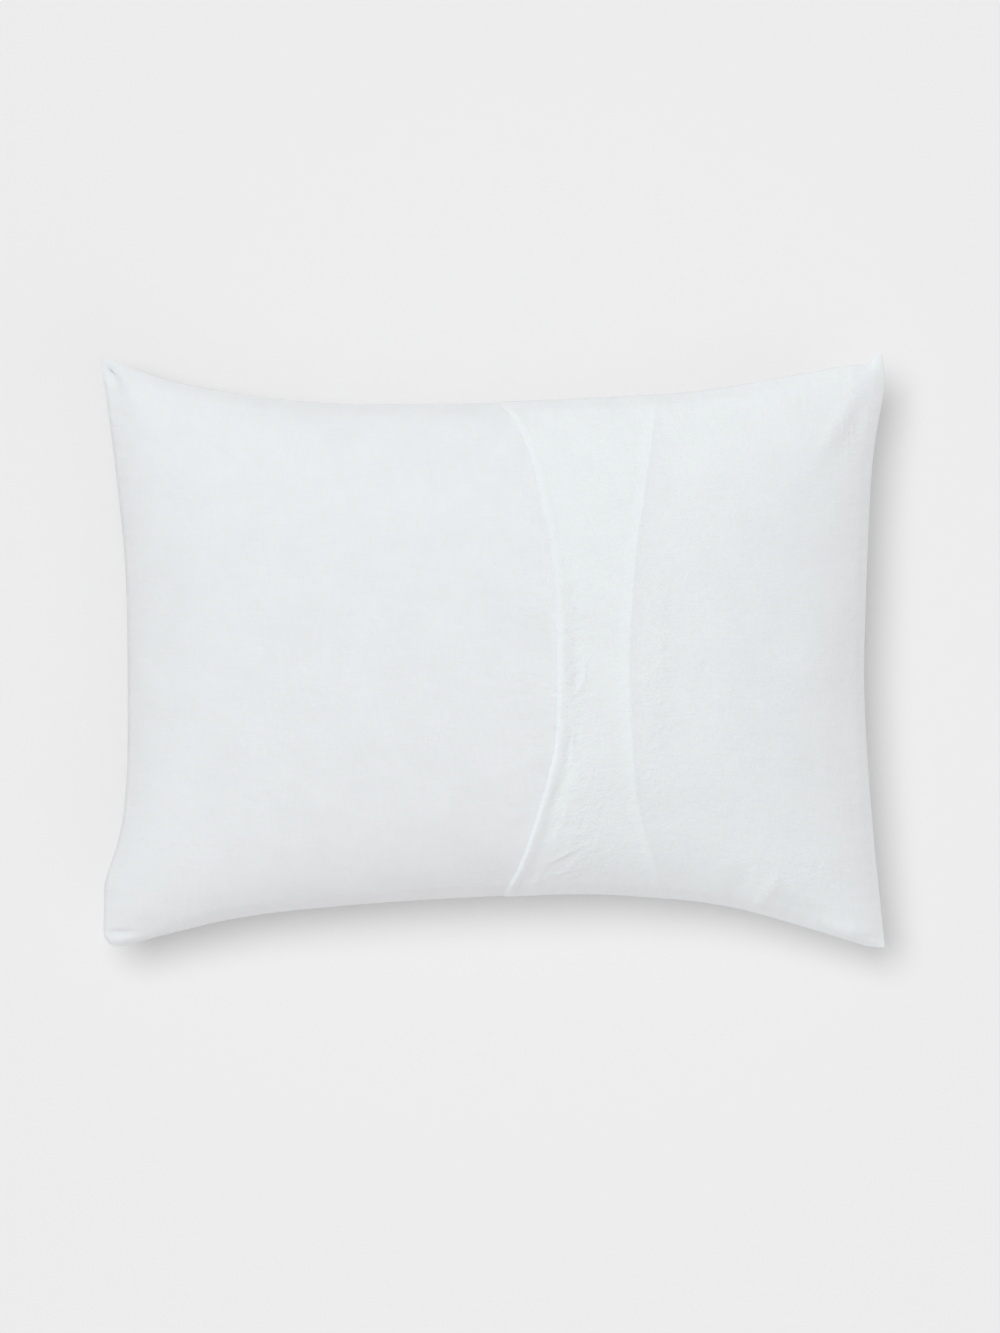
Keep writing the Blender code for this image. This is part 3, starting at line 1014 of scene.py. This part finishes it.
def stitch_row(name, line, normals):
    """Spindles along a line: radius times sqrt(1 - s^2), ends sunk by its square."""
    spots, direction = even_places(line, STITCH_PITCH)
    up = [np.interp(spots[:, 1], line[:, 1], normals[:, i]) for i in range(3)]
    up = np.stack(up, axis=1)
    side = np.cross(direction, up)
    side /= np.linalg.norm(side, axis=1, keepdims=True)
    s = np.linspace(-LAST_RING, LAST_RING, RINGS)
    turn = np.arange(RING_POINTS) * 2 * np.pi / RING_POINTS
    radius = THREAD_RADIUS * np.sqrt(1 - s**2)
    along = np.repeat(s[:, None] * STITCH_LENGTH / 2, RING_POINTS, axis=1)
    aside = radius[:, None] * np.cos(turn)
    above = radius[:, None] * np.sin(turn) - THREAD_RADIUS * (s**2)[:, None]
    points = spots[:, None, None, :]
    for amount, axis in ((along, direction), (aside, side), (above, up)):
        points = points + amount[None, :, :, None] * axis[:, None, None, :]
    base = np.arange(RINGS * RING_POINTS).reshape(RINGS, RING_POINTS)
    closed = np.concatenate([base, base[:, :1]], axis=1)
    one = [list(face) for face in quads(closed)[:, ::-1]]
    one += [list(base[0]), list(base[-1][::-1])]
    size = RINGS * RING_POINTS
    faces = [[size * k + i for i in face] for k in range(len(spots)) for face in one]
    return new_object(name, points.reshape(-1, 3), faces)


print("points of one stitch:", RINGS * RING_POINTS)


# %% Cotton thread
TWIST_GRAINS = 900.0  # to the metre: the twist makes the white waver every 1.1 mm


def thread_material():
    """White cotton thread, twisted: smoother and a little brighter than the cloth."""
    material, tree = new_material("cotton_thread")
    place = add_node(tree, "ShaderNodeTexCoord").outputs["Object"]
    twist = add_node(tree, "ShaderNodeTexNoise", {"Vector": place, "Scale": TWIST_GRAINS})
    colour = add_node(
        tree,
        "ShaderNodeMix",
        {0: twist.outputs["Fac"], "A": linear("#E4E6E7"), "B": linear("#F2F4F4")},
        data_type="RGBA",
    )
    shader = add_node(
        tree,
        "ShaderNodeBsdfPrincipled",
        {"Base Color": colour.outputs[2], "Roughness": 0.7},
    )
    add_node(tree, "ShaderNodeOutputMaterial", {"Surface": shader.outputs["BSDF"]})
    return material


stitch_line = raised(flap_high)[:, stitch_column]
hem_stitches = stitch_row("flap_hem_stitches", stitch_line, back_normal[:, stitch_column])
hem_stitches.data.materials.append(thread_material())
print("stitches:", len(hem_stitches.data.polygons), "faces")

# %% [markdown]
# ## Floor, light and camera
#
# The photograph looks straight down from far away, so the camera has a long lens. Its
# background has been evened out: it is one pale grey up to the case's left and upper
# sides, with a soft shadow at the right and below. The case itself is lit from all
# round, a little more from the upper left. Light linking keeps the two apart: the world
# lights everything, and each lamp lights only the floor or the cloths it is made for.
# The flap has a low lamp from the left, which picks out its two hems as the photograph
# does. One floor lamp casts no shadow and so sets how deep the others' shadows look.

# %% Floor
FLOOR_SIZE = 30.0
FLOOR_GAP = 0.0002  # the floor lies this far below the case, so that no faces coincide


def floor_material():
    """Pale matt studio paper."""
    material, tree = new_material("studio_paper")
    shader = add_node(
        tree,
        "ShaderNodeBsdfPrincipled",
        {"Base Color": linear("#E8E8E8"), "Roughness": 1.0, "Specular IOR Level": 0.0},
    )
    add_node(tree, "ShaderNodeOutputMaterial", {"Surface": shader.outputs["BSDF"]})
    return material


corners = np.array([(-1, -1, 0), (1, -1, 0), (1, 1, 0), (-1, 1, 0)]) * FLOOR_SIZE / 2
floor = new_object("studio_floor", corners - [0, 0, FLOOR_GAP], [[0, 1, 2, 3]])
floor.data.materials.append(floor_material())
print("floor:", FLOOR_SIZE, "m square")

# %% Light
TINTS = {"white": "#FFFFFF", "key": "#F2FFFE", "left": "#E4FFFC"}  # the daylight is cool
# Each lamp: what it lights, the azimuth and elevation that it shines from and the size of
# its disc in degrees (0 for no shadows), its strength and its tint.
LAMPS = (
    ("case",    0, 90, 150, 0.46, "white"),
    ("case",  110, 60,  40, 0.87, "key"),
    ("case",   90, 25,  90, 0.28, "white"),
    ("case",  270, 25,  90, 0.36, "white"),
    ("panel",   0, 90,  40, 0.24, "white"),
    ("flap",  180, 25,  40, 0.60, "left"),
    ("flap",    0, 90,  40, 0.05, "white"),
    ("flap",    0,  8,  30, 0.16, "white"),
    ("floor", 135, 72,  36, 1.55, "white"),
    ("floor", 315, 45,  60, 0.25, "white"),
    ("floor",   0, 90,   0, 0.21, "white"),
)
WORLD_STRENGTH = 0.45

lit = {
    "case": [front_cloth, panel_cloth, flap_cloth, hem_stitches],
    "panel": [front_cloth, panel_cloth],
    "flap": [flap_cloth, hem_stitches],
    "floor": [floor],
}
receivers = {}
for name, pieces in lit.items():
    receivers[name] = bpy.data.collections.new(f"lit_{name}")
    for piece in pieces:
        receivers[name].objects.link(piece)

for number, (name, azimuth, elevation, disc, strength, tint) in enumerate(LAMPS):
    data = bpy.data.lights.new(f"lamp_{number}", "SUN")
    data.energy = strength
    data.angle = math.radians(disc)
    data.use_shadow = disc > 0
    data.color = linear(TINTS[tint])[:3]
    light = bpy.data.objects.new(f"lamp_{number}", data)
    light.rotation_euler = (0, math.radians(90 - elevation), math.radians(azimuth))
    light.light_linking.receiver_collection = receivers[name]
    bpy.context.scene.collection.objects.link(light)

world = bpy.data.worlds.new("studio")
world.use_nodes = True
world.node_tree.nodes["Background"].inputs["Color"].default_value = (1, 1, 1, 1)
world.node_tree.nodes["Background"].inputs["Strength"].default_value = WORLD_STRENGTH
bpy.context.scene.world = world
bpy.context.scene.view_settings.view_transform = "Standard"
print("lamps:", len(LAMPS), "and the world at", WORLD_STRENGTH)

# %% Camera
METRES_PER_PIXEL = 0.001015  # at the seam's height
PICTURE = (1000, 1333)  # pixels
CASE_MIDDLE = (492.6, 651.1)  # the pixel that the case's origin falls on
LENS = 200.0  # millimetres
SENSOR = 36.0  # millimetres, along the picture's long side

distance = LENS / SENSOR * PICTURE[1] * METRES_PER_PIXEL
camera_data = bpy.data.cameras.new("camera")
camera_data.lens = LENS
camera_data.sensor_width = SENSOR
camera_data.clip_end = 100
camera = bpy.data.objects.new("camera", camera_data)
camera.location = (
    (PICTURE[0] / 2 - CASE_MIDDLE[0]) * METRES_PER_PIXEL,
    (CASE_MIDDLE[1] - PICTURE[1] / 2) * METRES_PER_PIXEL,
    SEAM_HEIGHT + distance,
)
bpy.context.scene.collection.objects.link(camera)
bpy.context.scene.camera = camera
print("camera height:", round(camera.location.z, 3))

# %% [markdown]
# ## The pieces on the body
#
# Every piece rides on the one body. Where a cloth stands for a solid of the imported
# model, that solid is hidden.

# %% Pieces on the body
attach(front_cloth, "root")
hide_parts("filled_front")

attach(panel_cloth, "root")
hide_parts("back_panel")

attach(flap_cloth, "root")
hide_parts("back_flap")
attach(hem_stitches, "root")
print("pieces:", [piece.name for piece in lit["case"]])
